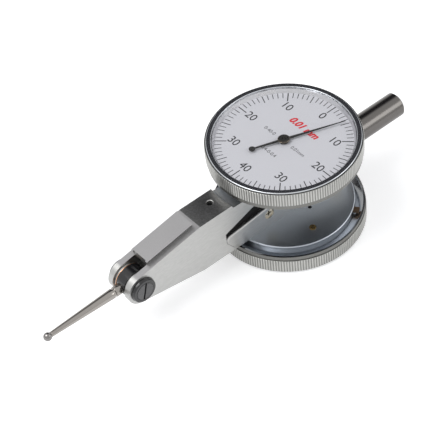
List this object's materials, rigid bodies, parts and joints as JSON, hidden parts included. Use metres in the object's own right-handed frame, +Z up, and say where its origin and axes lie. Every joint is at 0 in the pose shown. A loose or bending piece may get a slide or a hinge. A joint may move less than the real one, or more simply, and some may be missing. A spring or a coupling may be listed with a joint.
{
  "type": "dial test indicator",
  "caption": "Double-faced lever dial test indicator with turnable dials back to back, a tapered arm with a dovetail, a swivelling ball contact and a plain round stem",
  "frame": {"origin": "centre of the lower bezel's face, on the dial axis, where the part rests", "axes": "+X from the contact ball towards the stem; +Z up along the dial axis; +Y completes a right-handed frame, so the near side cover faces -Y"},
  "size_m": [0.1042, 0.036, 0.0257],
  "materials": {
    "satin_steel": "satin, finely brushed",
    "dark_steel": "blackened",
    "brass": "polished",
    "steel_bright": "polished",
    "plated_screws": "bright plated, slightly warm",
    "ground_steel": "ground, semi gloss",
    "black_steel": "gloss black oxide",
    "jewel": "polished red stone",
    "clip_bronze": "dark bronze",
    "spring_steel": "blued",
    "copper_washer": "polished copper colour",
    "nickel_steel": "nickel plated",
    "carbide": "mirror polished",
    "case_satin": "turned, satin",
    "bezel_satin": "satin plated with a polished front ring",
    "dial_white": "matt white enamel",
    "polished_ring": "mirror polished",
    "glass": "clear",
    "hand_black": "matt black lacquer",
    "hub_bronze": "dark bronze, polished"
  },
  "bodies": {
    "frame": {"arm_housing": "satin_steel", "arm_set_screw": "black_steel", "movement_block": "dark_steel", "train_plate": "brass", "train_plate_screws": "steel_bright", "near_side_cover": "satin_steel", "far_side_cover": "satin_steel", "cover_screws": "plated_screws", "stem": "ground_steel", "pivot_screws": "black_steel", "pivot_lock_rings": "black_steel", "cross_shaft_jewels": "jewel", "train_bridge": "brass", "bridge_screws": "steel_bright", "arbor_jewels": "jewel", "case_screws": "steel_bright", "case_plugs": "brass", "bezel_clips": "clip_bronze", "bezel_retainers": "spring_steel", "hairspring_studs": "brass", "upper_case": "case_satin", "lower_case": "case_satin", "upper_hairspring": "spring_steel", "lower_hairspring": "spring_steel"},
    "lever": {"lever": "steel_bright", "lever_axle": "steel_bright", "sector_gear": "brass", "sector_rivets": "steel_bright", "clutch_washer": "copper_washer"},
    "stylus": {"stylus_drum": "black_steel", "contact_shank": "nickel_steel", "contact_ball": "carbide"},
    "cross_shaft": {"cross_shaft": "steel_bright", "cross_pinion": "brass", "crown_wheel": "brass"},
    "upper_arbor": {"upper_arbor": "steel_bright", "upper_collet": "brass", "upper_hand": "hand_black", "upper_hub_cap": "hub_bronze"},
    "upper_bezel": {"upper_bezel": "bezel_satin", "upper_dial_plate": "dial_white", "upper_window_ring": "polished_ring", "upper_glass": "glass"},
    "lower_arbor": {"lower_arbor": "steel_bright", "lower_collet": "brass", "lower_hand": "hand_black", "lower_hub_cap": "hub_bronze"},
    "lower_bezel": {"lower_bezel": "bezel_satin", "lower_dial_plate": "dial_white", "lower_window_ring": "polished_ring", "lower_glass": "glass"}
  },
  "joints": [
    {"name": "lever_swing", "type": "hinge", "parent": "frame", "child": "lever", "pos_m": [-0.0452, 0, 0.01285], "axis": [0, 1, 0], "range_deg": [-1, 1], "stiffness_Nm_per_rad": 0.4},
    {"name": "cross_shaft_turn", "type": "hinge", "parent": "frame", "child": "cross_shaft", "pos_m": [0, 0, 0.01285], "axis": [0, 1, 0], "range_deg": [-15, 15]},
    {"name": "upper_hand_turn", "type": "hinge", "parent": "frame", "child": "upper_arbor", "pos_m": [0, 0, 0.01285], "axis": [0, 0, 1], "range_deg": [-180, 180], "deforming": ["upper_hairspring"]},
    {"name": "lower_hand_turn", "type": "hinge", "parent": "frame", "child": "lower_arbor", "pos_m": [0, 0, 0.01285], "axis": [0, 0, 1], "range_deg": [-180, 180], "deforming": ["lower_hairspring"]},
    {"name": "stylus_swivel", "type": "hinge", "parent": "lever", "child": "stylus", "pos_m": [-0.0452, 0, 0.01285], "axis": [0, 1, 0], "range_deg": [-95, 95]},
    {"name": "upper_bezel_turn", "type": "hinge", "parent": "frame", "child": "upper_bezel", "pos_m": [0, 0, 0.01285], "axis": [0, 0, 1], "continuous": true},
    {"name": "lower_bezel_turn", "type": "hinge", "parent": "frame", "child": "lower_bezel", "pos_m": [0, 0, 0.01285], "axis": [0, 0, 1], "continuous": true}
  ],
  "couplings": [
    {"joint": "cross_shaft_turn", "follows": "lever_swing", "ratio": -15},
    {"joint": "upper_hand_turn", "follows": "lever_swing", "ratio": -180},
    {"joint": "lower_hand_turn", "follows": "lever_swing", "ratio": 180}
  ]
}
